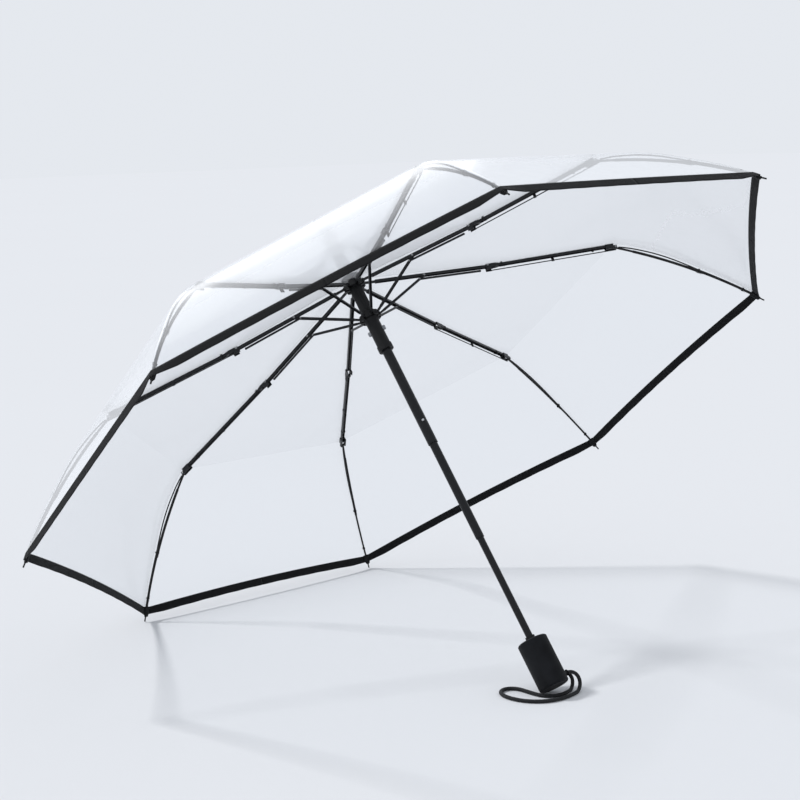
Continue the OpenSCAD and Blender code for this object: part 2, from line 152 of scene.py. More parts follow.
class Finish:
    """A material in the making."""

    def __init__(self, name):
        self.material = bpy.data.materials.new(name)
        self.material.use_nodes = True
        self.tree = self.material.node_tree
        self.tree.nodes.clear()

    def make(self, kind, settings=None, sockets=None, output=0):
        node = self.tree.nodes.new("ShaderNode" + kind)
        for key, value in (settings or {}).items():
            setattr(node, key, value)
        for key, value in (sockets or {}).items():
            if isinstance(value, Value):
                self.tree.links.new(value.socket, node.inputs[key])
            else:
                node.inputs[key].default_value = value
        return Value(self, node.outputs[output])

    def place(self):
        """Where a point is on the object, in metres."""
        return self.make("TexCoord", output="Object")

    def chart(self):
        """The piece's own UV map, in metres along and across."""
        return self.make("UVMap", {"uv_map": "chart"})

    def parts(self, vector):
        node = self.make("SeparateXYZ", sockets={0: vector}).socket.node
        return [Value(self, node.outputs[k]) for k in range(3)]

    def noise(self, where, scale, detail=2.0, rough=0.5):
        """Smooth random spots, about 1 / scale metres across."""
        sockets = {"Vector": where, "Scale": scale, "Detail": detail, "Roughness": rough}
        return self.make("TexNoise", sockets=sockets)

    def stretched(self, where, scale):
        return self.make("Mapping", {"vector_type": "POINT"}, {"Vector": where, "Scale": scale})

    def blend(self, share, first, second):
        return self.make(
            "Mix", {"data_type": "RGBA"}, {0: share, 6: first, 7: second}, output=2
        )

    def bump(self, height, depth, strength=1.0):
        sockets = {"Height": height, "Distance": depth, "Strength": strength}
        return self.make("Bump", sockets=sockets)

    def skin(self, **sockets):
        """A surface; Base_Color names the socket Base Color."""
        named = {key.replace("_", " "): value for key, value in sockets.items()}
        return self.make("BsdfPrincipled", sockets=named)

    def done(self, shader):
        out = self.tree.nodes.new("ShaderNodeOutputMaterial")
        self.tree.links.new(shader.socket, out.inputs["Surface"])
        return self.material


def grey(level, blue=0.0):
    """A grey, a little blue if asked."""
    return (level, level * (1 + 0.3 * blue), level * (1 + blue), 1)


print("shader sums ready")

# %% [markdown]
# The wrist strap is a round braided cord of 4.2 mm. It leaves the grip's side through one
# eyelet, drops to the floor in a round curl, lies in an open loop and goes back in through a
# second eyelet close by. A cord is a tube round one smooth line, so the route's points are joined
# by a Catmull-Rom curve, and each ring of the tube keeps the last ring's direction, which
# stops the braid from twisting.

# %% The strap's route
STRAP_R = 2.1 * MM
STRAP_ROUTE = [
    (-213.5, -13, 22.4), (-214.8, -21, 22.4), (-216.5, -26, 21), (-218.4, -29.7, 17.4),
    (-220.4, -31.1, 12.3), (-222.4, -29.7, 7.3), (-224.3, -26, 3.6), (-226, -21, 2.2),
    (-228.1, -12.5, 2.2), (-229.2, -3, 2.2), (-228.8, 7, 2.2), (-226, 18, 2.2), (-219.5, 29, 2.2),
    (-209.5, 38, 2.2), (-198, 43.2, 2.2), (-186.5, 45.2, 2.2), (-175.5, 43.8, 2.2),
    (-167.7, 39, 2.2), (-164.6, 31, 2.2), (-167.6, 23.1, 2.2), (-175.2, 18.6, 2.2),
    (-185.5, 17.4, 2.2), (-196, 16.7, 2.2), (-206.4, 14.8, 2.2), (-214.6, 9.5, 2.2),
    (-218.8, 1.8, 2.2), (-220, -6, 2.2), (-218.7, -13.6, 2.2), (-216.4, -20.5, 2.2),
    (-214.2, -24.9, 3.4), (-212.4, -28.2, 6.6), (-210.8, -29.4, 11.1), (-209.2, -28.2, 15.5),
    (-207.8, -24.9, 18.7), (-206.6, -20.5, 19.9), (-206, -13, 19.9),
]


def smooth_line(points, steps):
    """A Catmull-Rom curve through the points."""
    line = []
    for k in range(len(points) - 1):
        a, b = points[max(k - 1, 0)], points[k]
        c, d = points[k + 1], points[min(k + 2, len(points) - 1)]
        for step in range(steps):
            t = step / steps
            line.append(
                (b * 2 + (c - a) * t + (a * 2 - b * 5 + c * 4 - d) * t * t
                 + (b * 3 - a - c * 3 + d) * t ** 3) / 2
            )
    return line + [points[-1]]


strap_line = smooth_line([Vector(p) * MM for p in STRAP_ROUTE], 9)
strap_length = sum((b - a).length for a, b in zip(strap_line, strap_line[1:]))
print("strap", round(strap_length * 1000, 1), "mm along", len(strap_line), "points")

# %% [markdown]
# Tubes and sheets are made from lists of points, so that a cord's length and a sheet's edges
# are known exactly. Each mesh carries a UV map called chart, measured in metres along and
# across the real material, so that a braid or a weave follows every bend at its true scale.

# %% A mesh with its own chart
def mesh_piece(name, points, faces, chart, uvs_per_face=None):
    """A smooth mesh whose UV map, chart, holds distances in metres."""
    mesh = bpy.data.meshes.new(name)
    mesh.from_pydata([tuple(p) for p in points], [], faces)
    layer = mesh.uv_layers.new(name="chart")
    for face_index, polygon in enumerate(mesh.polygons):
        for corner, loop in enumerate(polygon.loop_indices):
            if uvs_per_face:
                layer.data[loop].uv = uvs_per_face[face_index][corner]
            else:
                layer.data[loop].uv = chart[mesh.loops[loop].vertex_index]
    mesh.polygons.foreach_set("use_smooth", [True] * len(mesh.polygons))
    mesh.update()
    piece = bpy.data.objects.new(name, mesh)
    bpy.context.scene.collection.objects.link(piece)
    return piece


def swept(name, rings, along, around):
    """A closed tube through rings of points, with its chart along and around."""
    count = len(rings[0])
    points = [p for ring in rings for p in ring]
    faces, uvs = [], []
    for k in range(len(rings) - 1):
        for s in range(count):
            a, b = k * count + s, k * count + (s + 1) % count
            faces.append((a, b, b + count, a + count))
            uvs.append([
                (along[k], around[s]), (along[k], around[s + 1]),
                (along[k + 1], around[s + 1]), (along[k + 1], around[s]),
            ])
    for ring, order in ((0, -1), (len(rings) - 1, 1)):
        cap = [ring * count + s for s in range(count)][::order]
        faces.append(tuple(cap))
        uvs.append([(along[ring], around[s]) for s in range(count)][::order])
    return mesh_piece(name, points, faces, None, uvs)


print("mesh helpers ready")

# %% [markdown]
# The tube has 18 sides, which is round at this size. It replaces the CAD cord, whose route it
# repeats, and rides with the grip that both its ends go into.

# %% Sweep the strap
SIDES = 18
tangents = [
    (strap_line[min(k + 1, len(strap_line) - 1)] - strap_line[max(k - 1, 0)]).normalized()
    for k in range(len(strap_line))
]
across = tangents[0].orthogonal().normalized()
rings, lengths = [], [0.0]
for k, (point, tangent) in enumerate(zip(strap_line, tangents)):
    across = (across - tangent * across.dot(tangent)).normalized()
    over = tangent.cross(across)
    if k:
        lengths.append(lengths[-1] + (point - strap_line[k - 1]).length)
    rings.append([
        point + (across * math.cos(a) + over * math.sin(a)) * STRAP_R
        for a in (2 * math.pi * s / SIDES for s in range(SIDES))
    ])
girth = 2 * math.pi * STRAP_R
wrist_cord = swept("wrist_cord", rings, lengths, [girth * s / SIDES for s in range(SIDES + 1)])
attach(wrist_cord, "handle")
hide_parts("wrist_strap")
print("strap faces", len(wrist_cord.data.polygons))

# %% [markdown]
# The braid is two sets of strands that wind opposite ways. Two waves on sloping lines of the
# cord's own chart give them, and the larger of the two at each point is the strand on top.
# The colour is painted shade: darker in the low gaps between strands, paler on the strand on top.

# %% Braided cord finish
def braided_cord():
    f = Finish("braided_cord")
    along, around, _ = f.parts(f.chart())
    strand = girth / 8
    one = (along * 0.8 + around).wave(strand)
    two = (along * 0.8 - around).wave(strand)
    over = f.make("Math", {"operation": "MAXIMUM"}, {0: one, 1: two})
    fuzz = f.noise(f.place(), 2600, 3)
    relief = over + fuzz * 0.35
    # Painted shade: the colour is darker where the braid is low, between the strands, and paler where it is high.
    colour = f.blend(relief.step(0.55, 1.25), grey(0.006), grey(0.03, 0.1))
    return f.done(f.skin(
        Base_Color=colour, Roughness=0.9 - over * 0.2, Normal=f.bump(relief, 0.00025),
        Sheen_Weight=0.06, Sheen_Roughness=0.4, Specular_IOR_Level=0.15,
    ))


wrist_cord.data.materials.append(braided_cord())
print("cord finish", wrist_cord.data.materials[0].name)

# %% [markdown]
# The canopy is clear plastic film, cut as eight gores and welded along the ribs. It is one
# continuous surface: from the crown it runs straight over the knees to the elbows, then bends
# down over the outer ribs to the hem. When the umbrella folds, each stretch of film goes with
# the rib below it, so the surface is built as pieces that share their borders exactly. Each
# piece reaches from the middle of one gore, over its rib, to the middle of the next.

# %% The film's line over a rib
FILM_LIFT, KNEE_LIFT, RIB_BOW = 2.6, 3.4, 8.0
HEM_BOW, HEM_CURL, TAPE_W = 4.0, 3.4, 9.6
crown_pt, knee_pt = Vector((11, -8)), Vector((168, -39.5))
elbow_pt, tip_pt = Vector((337, -67.5)), Vector((480, -200.7))


def beside(a, b, distance):
    """A step of that distance at right angles to the line from a to b."""
    d = b - a
    return Vector((-d.y, d.x)).normalized() * distance


def bowed(a, b, bow, t):
    """A point at share t along a bow from a to b."""
    return a + (b - a) * t + beside(a, b, 4 * bow * t * (1 - t))


knee_top = knee_pt + beside(crown_pt, knee_pt, KNEE_LIFT)
elbow_top = elbow_pt + beside(knee_pt, elbow_pt, FILM_LIFT)
tip_top = tip_pt + (elbow_pt - tip_pt).normalized() * 0.5 + beside(elbow_pt, tip_pt, FILM_LIFT)
# How far the seam cord lifts the film, at nine places from the elbow to the tip.
SEAM_RISE = [0, 2, 2.8, 2.4, 1, 0.2, 0, 0, 0]
over_outer = [
    bowed(elbow_top, tip_top, RIB_BOW + 1.5, k / 8) + beside(elbow_top, tip_top, SEAM_RISE[k])
    for k in range(9)
]
inner_line = [Vector(p) for p in ((5, -0.4), (32, -6.4), (60, -12.4), (88, -18.6), (115, -24.8))]
inner_line += [Vector((142, -30.4)), knee_top]
middle_line = [knee_top, Vector((196, -41)), Vector((225, -46.2)), Vector((253, -50.9))]
middle_line += [Vector((281, -55.6)), Vector((310, -60.3)), elbow_top]
outer_line = smooth_line(over_outer, 3)
hem_end = outer_line[-1]
hem_in = hem_end + (outer_line[-2] - hem_end).normalized() * TAPE_W
outer_line[-2] = hem_in
print("film line reaches", round(outer_line[-1].x), "mm from the shaft")


# %% [markdown]
# Between two ribs the tight film follows the straight chord, and only towards the hem does it
# bow in and up. The hem itself curls under a little, over the width of its tape, except right at
# the ribs. A few extra columns close beside the rib keep the crease over it narrow, because a
# wide crease would look inflated.

# %% Points of the canopy
BOW_RISE = 0.9  # how far a bow rises, as a share of how far it goes in
CURL_FADE = 0.07  # the hem's curl is full this far from a rib, as a share of a gore


def canopy_point(n, share, q, bow=0.0):
    """A point over rib n; share is -0.5 to 0.5, from mid-gore to mid-gore."""
    first, t = (n, share) if share >= 0 else (n - 1, 1 + share)
    a = math.radians(PITCH * (first - 0.5))
    b = a + math.radians(PITCH)
    sweep = 4 * t * (1 - t)
    near_hem = max(0, 1 - (hem_end - q).length / TAPE_W)
    q = q - beside(elbow_pt, tip_pt, HEM_CURL * near_hem * min(abs(share) / CURL_FADE, 1))
    r = (q.x - bow * sweep) * MM
    chord = Vector((math.cos(a), math.sin(a))) * (1 - t) + Vector((math.cos(b), math.sin(b))) * t
    return UMBRELLA @ Vector((chord.x * r, chord.y * r, (q.y + bow * BOW_RISE * sweep) * MM))


def film_bow(k, count):
    """The hem's bow grows smoothly from nothing at the elbow."""
    t = k / (count - 1)
    return HEM_BOW * t * t * (3 - 2 * t)


SHARES = [0.0, 0.006, 0.02, 0.06, 0.125, 0.1875, 0.25, 0.3125, 0.375, 0.4375, 0.5]
SHARES = [-s for s in SHARES[:0:-1]] + SHARES


def film_piece(name, n, line, bows, start):
    """One stretch of film over rib n, with its chart across and along the rib."""
    points, chart, along = [], [], start
    for k, q in enumerate(line):
        along += (q - line[k - 1]).length * MM if k else 0.0
        half = q.x * MM * math.tan(math.radians(PITCH / 2))
        for share in SHARES:
            points.append(canopy_point(n, share, q, bows[k]))
            chart.append((2 * share * half, along))
    columns = len(SHARES)
    faces = [
        (k * columns + s, (k + 1) * columns + s, (k + 1) * columns + s + 1, k * columns + s + 1)
        for k in range(len(line) - 1) for s in range(columns - 1)
    ]
    return mesh_piece(name, points, faces, chart), along


print("columns over a rib", len(SHARES))

# %% [markdown]
# The film is about 0.15 mm of hazy plastic. Looked at squarely it is nearly invisible, and at
# a glancing angle it turns white and shiny. So a Mix Shader goes from Transparent to a white
# glossy skin by how far the surface turns away, but never so far that the ribs are hidden. The
# weld along each rib is a doubled strip, which the chart finds by its distance from the rib,
# and its edge shows as a fine darker line.

# %% Clear film finish
MOST_COVER = 0.62


def clear_film():
    f = Finish("clear_film")
    across = f.parts(f.chart())[0]
    weld = 1 - across.away().step(0.0022, 0.0026)
    weld_edge = 1 - (across.away() - 0.0024).away().step(0.0001, 0.0005)
    cloud = f.noise(f.place(), 5, 3)
    fine = f.noise(f.stretched(f.place(), (1, 1, 4)), 90, 2)
    ripple = f.noise(f.place(), 26, 2) * 0.6 + fine * 0.1
    turned = f.make("LayerWeight", sockets={"Blend": 0.5}, output="Facing")
    glance = turned ** 3.3 * 1.5
    cover = glance + 0.008 + cloud * 0.012 + weld * 0.04 + weld_edge * 0.12
    cover = f.make("Math", {"operation": "MINIMUM"}, {0: cover, 1: MOST_COVER})
    clear = f.make("BsdfTransparent", sockets={"Color": (0.975, 0.985, 0.995, 1)})
    tint = f.blend(weld_edge, grey(0.85, 0.03), grey(0.4, 0.15))
    gloss = f.skin(
        Base_Color=tint, Roughness=0.16 + cloud * 0.1, Normal=f.bump(ripple, 0.002, 0.35),
        Specular_IOR_Level=0.6, Coat_Weight=0.5, Coat_Roughness=0.08,
    )
    return f.done(f.make("MixShader", sockets={0: cover, 1: clear, 2: gloss}))


film_finish = clear_film()
print("film finish", film_finish.name)

# %% [markdown]
# Film can't roll up here as the umbrella folds. The flat size is what would be cut from the roll:
# its widest edge, its length along the rib, and its true area, because the piece isn't a rectangle.


def flat_size(piece, line):
    """How wide and long a piece of film was cut, and its area."""
    width = 2 * line[-1].x * MM * math.sin(math.radians(PITCH / 2))
    length = sum((b - a).length for a, b in zip(line, line[1:])) * MM
    return (round(width, 4), round(length, 4)), round(sum(p.area for p in piece.data.polygons), 5)


film_area = 0.0
for n in range(1, RIBS + 1):
    start = 0.0
    outer_bows = [film_bow(k, len(outer_line)) for k in range(len(outer_line))]
    for zone, line, bows, body in (
        ("inner", inner_line, [0.0] * 7, f"top_rib_{n}"),
        ("middle", middle_line, [0.0] * 7, f"middle_rib_{n}"),
        ("outer", outer_line, outer_bows, f"outer_rib_{n}"),
    ):
        film, start = film_piece(f"film_{zone}_{n}", n, line, bows, start)
        film.data.materials.append(film_finish)
        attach(film, body)
        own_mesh(film)
        size, area = flat_size(film, line)
        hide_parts("canopy_film")
        film_area += area
print("film", round(film_area, 3), "square metres in", 3 * RIBS, "pieces")

# %% [markdown]
# The hem is bound with woven black tape, about 20 mm wide and folded over the film's edge, so it
# shows about 10 mm deep on both sides. It is modelled as what it is: a folded strip with a
# wall of its own, swept along the hem from mid-gore to mid-gore round each corner. Every
# stitch pulls it in a little, which gives the edge its fine pucker.

# %% Fold the tape over the hem
STITCH = 3.6
PUCKER_IN, PUCKER_UP = 0.014, 0.10
BOW_INSIDE = 0.9  # the bow along the tape's inner edge, as a share of the hem's
# The folded strip's section: a share of the tape's depth, and millimetres off the film.
tape_profile = [
    (1.0, 0.55), (0.66, 0.6), (0.33, 0.6), (0.10, 0.56), (0.03, 0.4), (0.0, 0.0), (0.03, -0.4),
    (0.10, -0.56), (0.33, -0.6), (0.66, -0.6), (1.0, -0.55), (1.0, -0.17), (0.55, -0.17),
    (0.12, -0.15), (0.08, 0.0), (0.12, 0.15), (0.55, 0.17), (1.0, 0.17),
]


def hem_frame(n, share):
    """The hem's edge, the way into the gore and the way off the film."""
    edge = canopy_point(n, share, hem_end, HEM_BOW)
    inward = canopy_point(n, share, hem_in, HEM_BOW * BOW_INSIDE) - edge
    step = 0.004
    run = canopy_point(n, min(share + step, 0.5), hem_end, HEM_BOW)
    run -= canopy_point(n, max(share - step, -0.5), hem_end, HEM_BOW)
    return edge, inward, run.cross(inward).normalized()


def tape_piece(n, steps=112):
    """The folded strip of tape round corner n, and its length."""
    rings, along = [], [0.0]
    for k in range(steps + 1):
        share = k / steps - 0.5
        edge, inward, off = hem_frame(n, share)
        if k:
            along.append(along[-1] + (edge - last).length)
        last = edge
        pucker = math.sin(2 * math.pi * along[-1] / (STITCH * MM))
        ring = []
        for x, z in tape_profile:
            depth = x + PUCKER_IN * pucker * (1 - x)
            lift = z * (1 + PUCKER_UP * pucker * (1 - abs(2 * x - 1)))
            ring.append(edge + inward * depth + off * (lift * MM))
        rings.append(ring)
    around = [0.0]
    for (a, b), (c, d) in zip(tape_profile, tape_profile[1:] + tape_profile[:1]):
        around.append(around[-1] + math.hypot((c - a) * TAPE_W, d - b) * MM)
    return swept(f"hem_tape_{n}", rings, along, around), along[-1]


print("a stitch every", STITCH, "mm")

# %% [markdown]
# The tape is woven: fine ribs run across it, and the warp threads cross them. Both come from
# waves on the tape's chart, and a thread's height also paints the gaps beside it darker and its
# top paler, which is painted shade. Small worn patches are real wear.

# %% Woven tape finish
def woven(name, base, weft=0.0009, warp=0.0007):
    """Tape cloth on the piece's chart; weft and warp are the threads' spacings."""
    f = Finish(name)
    along, around, _ = f.parts(f.chart())
    wobble = f.noise(f.place(), 700, 2) * 0.0004
    weave = (along + wobble).wave(weft) * 0.6 + (around + wobble).wave(warp) * 0.4
    lint = f.noise(f.place(), 1900, 4)
    relief = weave + lint * 0.3
    worn = f.noise(f.place(), 45, 3).step(0.45, 0.8) * 0.35
    # paler is mostly painted shade from the threads' height, darker in the gaps and paler on top, with real wear
    # mixed in.
    paler = relief.step(0.35, 1.15) * 0.75 + worn * 0.25
    colour = f.blend(paler, grey(base * 0.45), grey(base * 1.7, 0.25))
    return f.done(f.skin(
        Base_Color=colour, Roughness=0.86 - weave * 0.14, Normal=f.bump(relief, 0.00018),
        Sheen_Weight=0.06, Sheen_Roughness=0.35, Specular_IOR_Level=0.12,
    ))


tape_finish = woven("woven_tape", 0.009)
for n in range(1, RIBS + 1):
    tape, tape_length = tape_piece(n)
    tape.data.materials.append(tape_finish)
    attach(tape, f"outer_rib_{n}")
    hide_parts("edge_binding")
    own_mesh(tape)
print("tape per corner", round(tape_length * 1000), "mm")

# %% [markdown]
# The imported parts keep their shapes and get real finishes. The ribs are stamped steel with a
# satin black coat, the outer ribs are smooth glass-fibre rods, the fittings are moulded nylon,
# the shaft is lacquered tube and the grip has a soft, rubbery paint. Most of them are nearly
# black, so what tells them apart is gloss, grain and wear.

# %% Finishes of the frame
def lacquered(name, level, rough, streak, wear):
    """Painted metal: a smooth coat with faint drawn lines and small rubbed spots."""
    f = Finish(name)
    place = f.place()
    drawn = f.noise(f.stretched(place, (1, 1, 0.12)), streak, 3)
    orange = f.noise(place, 900, 2)
    rubbed = f.noise(place, 320, 4, 0.6).step(0.66, 0.76) * wear
    colour = f.blend(rubbed + drawn * 0.04, grey(level, 0.3), grey(0.12, 0.1))
    return f.done(f.skin(
        Base_Color=colour, Roughness=rough + drawn * 0.14 - rubbed * 0.1, Metallic=rubbed * 0.6,
        Normal=f.bump(orange + drawn * 0.5, 0.00006), Specular_IOR_Level=0.22,
    ))


def moulded(name, level, rough, coat=0.0):
    """Moulded nylon or ABS: an even spark-eroded grain, with slightly paler high spots, a painted highlight."""
    f = Finish(name)
    place = f.place()
    grain = f.noise(place, 2200, 3, 0.6)
    flow = f.noise(place, 60, 2)
    # Painted highlight: the grain's high spots are paler; the flow adds a real, random tone.
    paler = grain.step(0.4, 0.75) * 0.5 + flow * 0.3
    colour = f.blend(paler, grey(level * 0.8, 0.1), grey(level * 1.7, 0.1))
    return f.done(f.skin(
        Base_Color=colour, Roughness=rough + flow * 0.1 + grain * 0.06,
        Normal=f.bump(grain, 0.00005), Coat_Weight=coat, Coat_Roughness=0.12,
        Specular_IOR_Level=0.18,
    ))


def soft_rubber():
    """Soft-touch paint: velvety, with a very fine stipple and a little dust."""
    f = Finish("soft_rubber")
    place = f.place()
    stipple = f.noise(place, 3200, 2)
    handled = f.noise(place, 38, 3).step(0.35, 0.75)
    dust = f.noise(place, 1500, 1).step(0.74, 0.8) * 0.4
    colour = f.blend(handled * 0.4 + dust, grey(0.003, 0.5), grey(0.012, 0.4))
    return f.done(f.skin(
        Base_Color=colour, Roughness=0.72 - handled * 0.14, Normal=f.bump(stipple, 0.00005),
        Sheen_Weight=0.03, Sheen_Roughness=0.5, Specular_IOR_Level=0.12,
    ))


def bright_steel(name, light, dark):
    """Bare wire or a rivet: faint drawn lines, and darker, duller spots."""
    f = Finish(name)
    place = f.place()
    drawn = f.noise(f.stretched(place, (1, 1, 0.1)), 700, 2)
    spots = f.noise(place, 240, 3).step(0.6, 0.75)
    colour = f.blend(drawn * 0.5 + spots * 0.3, grey(light, 0.03), grey(dark, 0.04))
    return f.done(f.skin(
        Base_Color=colour, Roughness=0.24 + drawn * 0.16 + spots * 0.1, Metallic=1.0,
        Normal=f.bump(drawn, 0.00004),
    ))


finishes = {
    "rib_black": lacquered("rib_lacquer", 0.006, 0.3, 500, 0.4),
    "black_metal": lacquered("tube_lacquer", 0.005, 0.26, 420, 0.25),
    "outer_rib_black": moulded("fibre_rod", 0.006, 0.28, 0.05),
    "black_plastic": moulded("black_nylon", 0.007, 0.42),
    "grey_gloss": moulded("grey_lug", 0.22, 0.14, 0.6),
    "soft_black": soft_rubber(),
    "steel_wire": bright_steel("bright_steel", 0.6, 0.34),
}
for part in frame["record"]["subparts"]:
    finish = finishes.get(part["material_slot"])
    node = frame["nodes"][part["node"]]
    if finish and not node.hide_render:
        for slot in node.material_slots:
            slot.material = finish
print("finishes", sorted(finishes))

# %% [markdown]
# Small parts are modelled once, in a rib's own plane, and copied to the eight ribs with a
# matrix. Each copy gets its own mesh with its place in it, so a pattern that reads object
# coordinates never slides. These helpers start a piece, select its points by their place,
# finish it, and copy it.

# %% Helpers for small parts
def start_fresh():
    """Leaves edit mode and deselects everything, so that an operator acts on nothing old."""
    if bpy.context.object and bpy.context.object.mode != "OBJECT":
        bpy.ops.object.mode_set(mode="OBJECT")
    bpy.ops.object.select_all(action="DESELECT")


def pick(piece, test):
    """Selects the points whose place passes the test, and goes on in edit mode."""
    bpy.ops.object.mode_set(mode="EDIT")
    bpy.ops.mesh.select_mode(type="VERT")
    bpy.ops.mesh.select_all(action="DESELECT")
    bpy.ops.object.mode_set(mode="OBJECT")
    for vertex in piece.data.vertices:
        vertex.select = test(vertex.co)
    bpy.ops.object.mode_set(mode="EDIT")


def settle(piece, angle=35):
    """Applies the place, turns the normals out and smooths the round faces."""
    start_fresh()
    piece.select_set(True)
    bpy.context.view_layer.objects.active = piece
    bpy.ops.object.transform_apply(location=True, rotation=True, scale=True)
    bpy.ops.object.mode_set(mode="EDIT")
    bpy.ops.mesh.select_all(action="SELECT")
    bpy.ops.mesh.normals_make_consistent(inside=False)
    bpy.ops.object.mode_set(mode="OBJECT")
    bpy.ops.object.shade_smooth_by_angle(angle=math.radians(angle))
    return piece


def joined(pieces, name):
    """Several meshes as one piece."""
    start_fresh()
    for piece in pieces:
        piece.select_set(True)
    bpy.context.view_layer.objects.active = pieces[0]
    bpy.ops.object.join()
    pieces[0].name = name
    return pieces[0]


def on_ribs(pattern, name, body, finish):
    """Copies a pattern from the rib's plane to all eight ribs."""
    for n in range(1, RIBS + 1):
        piece = bpy.data.objects.new(f"{name}_{n}", pattern.data.copy())
        bpy.context.scene.collection.objects.link(piece)
        piece.data.transform(rib_matrix(n))
        piece.data.materials.clear()
        piece.data.materials.append(finish)
        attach(piece, f"{body}_{n}")
    bpy.data.objects.remove(pattern)
    print(name, "on", RIBS, "ribs")


print("helpers ready")

# %% [markdown]
# Where two rib bars turn on each other, a dull steel rivet shows on both sides. Its head is a
# low dome. It starts as a short cylinder, whose outer face is inset and lifted three times.
# A sphere's cap wouldn't do, because a real head has a flat crown and a small step at its foot.

# %% Rivet heads
# Each step's inset as a share of the radius, and its lift as a share of the height.
DOME = ((0.22, 0.3), (0.26, 0.14), (0.3, 0.06))


def rivet_head(radius, height, where, side):
    """A domed head whose foot stands at where, pointing to one side of the rib's plane."""
    start_fresh()
    bpy.ops.mesh.primitive_cylinder_add(vertices=20, radius=radius * MM, depth=height * MM * 0.5)
    head = bpy.context.object
    pick(head, lambda p: p.z > 0)
    for inset, lift in DOME:
        bpy.ops.mesh.inset(thickness=radius * MM * inset)
        bpy.ops.transform.translate(value=(0, 0, height * MM * lift))
    bpy.ops.object.mode_set(mode="OBJECT")
    head.location = (where[0] * MM, side * (where[2] + height * 0.25) * MM, where[1] * MM)
    head.rotation_euler = (-math.pi / 2 * side, 0, 0)
    return settle(head, 50)


def on_segment(a, b, distance):
    """A point that far from a, towards b."""
    return a + (b - a).normalized() * distance


stretcher_pt = on_segment(crown_pt, knee_pt, 78) + beside(crown_pt, knee_pt, -0.4)
runner_pt = Vector((11, -54.6))
knuckle_pt = on_segment(stretcher_pt, runner_pt, 8)
knee_pin = knee_pt + beside(crown_pt, knee_pt, 1)
elbow_pin = elbow_pt + beside(knee_pt, elbow_pt, -3)
rivet_finish = bright_steel("rivet_steel", 0.26, 0.12)


def rivet_pair(name, body, spots):
    """Heads on both sides at each spot: its point, radius, height and foot."""
    heads = [
        rivet_head(radius, height, (p.x, p.y, foot), side)
        for p, radius, height, foot in spots for side in (-1, 1)
    ]
    on_ribs(joined(heads, name + "_pattern"), name, body, rivet_finish)


rivet_pair("rivets_top", "top_rib", [(stretcher_pt, 1.35, 0.8, 2.2), (knee_pin, 1.5, 0.9, 3.32)])
rivet_pair("rivets_stretcher", "stretcher", [(knuckle_pt, 1.1, 0.35, 1.5)])
rivet_pair("rivets_elbow", "middle_rib", [(elbow_pin, 1.5, 0.9, 3.52)])

# %% [markdown]
# A tight black seam cord runs under the film from each elbow. There the film stands a few
# millimetres off the rib, so the cord shows as a second, thinner line. It meets the rib about
# halfway out and is stitched down on it as far as the tip. It is a curve through a few points,
# thickened and turned into a mesh.

# %% Seam cords
def rod_along(name, points, radius, taper=0.5):
    """A thin round strand along points in the rib's plane."""
    start_fresh()
    curve = bpy.data.curves.new(name, "CURVE")
    curve.dimensions = "3D"
    curve.bevel_depth, curve.bevel_resolution, curve.use_fill_caps = radius * MM, 3, True
    spline = curve.splines.new("POLY")
    spline.points.add(len(points) - 1)
    for k, (point, p) in enumerate(zip(spline.points, points)):
        point.co = (p.x * MM, 0, p.y * MM, 1)
        point.radius = taper if k in (0, len(points) - 1) else 1.0
    strand = bpy.data.objects.new(name, curve)
    bpy.context.scene.collection.objects.link(strand)
    strand.select_set(True)
    bpy.context.view_layer.objects.active = strand
    bpy.ops.object.convert(target="MESH")
    return settle(bpy.context.object, 60)


SEAM_R = 0.85
# Shares of the outer rib's length, and the cord's height over the rib's middle there.
over_rib = [
    (0.02, 1.9), (0.06, 3.0), (0.125, 4.3), (0.25, 5.3), (0.375, 4.8), (0.5, 3.1), (0.56, 2.2),
    (0.63, 2.0), (0.72, 1.8), (0.82, 1.7), (0.92, 1.6), (0.98, 1.6),
]
seam_points = [
    bowed(elbow_pin, tip_pt, RIB_BOW, t) + beside(elbow_pin, tip_pt, lift) for t, lift in over_rib
]
seam = rod_along("seam_pattern", smooth_line(seam_points, 5), SEAM_R)
thread_finish = moulded("seam_thread", 0.007, 0.5)
on_ribs(seam, "seam_cord", "outer_rib", thread_finish)

# %% [markdown]
# The film is tied to the frame with black thread. A tie is four tight turns side by side and
# a knot low on one side. One turn starts as a torus with almost no thickness. It is squeezed to the
# rib's section and then fattened, so the thread stays round. The knot is a small sphere pinched
# at its waist, with two short loose ends.

# %% Thread ties
THREAD_R, TURN_GAP, KNOT_R, TAIL_R = 0.24, 0.42, 0.75, 0.2
TURN_TILT = 0.06


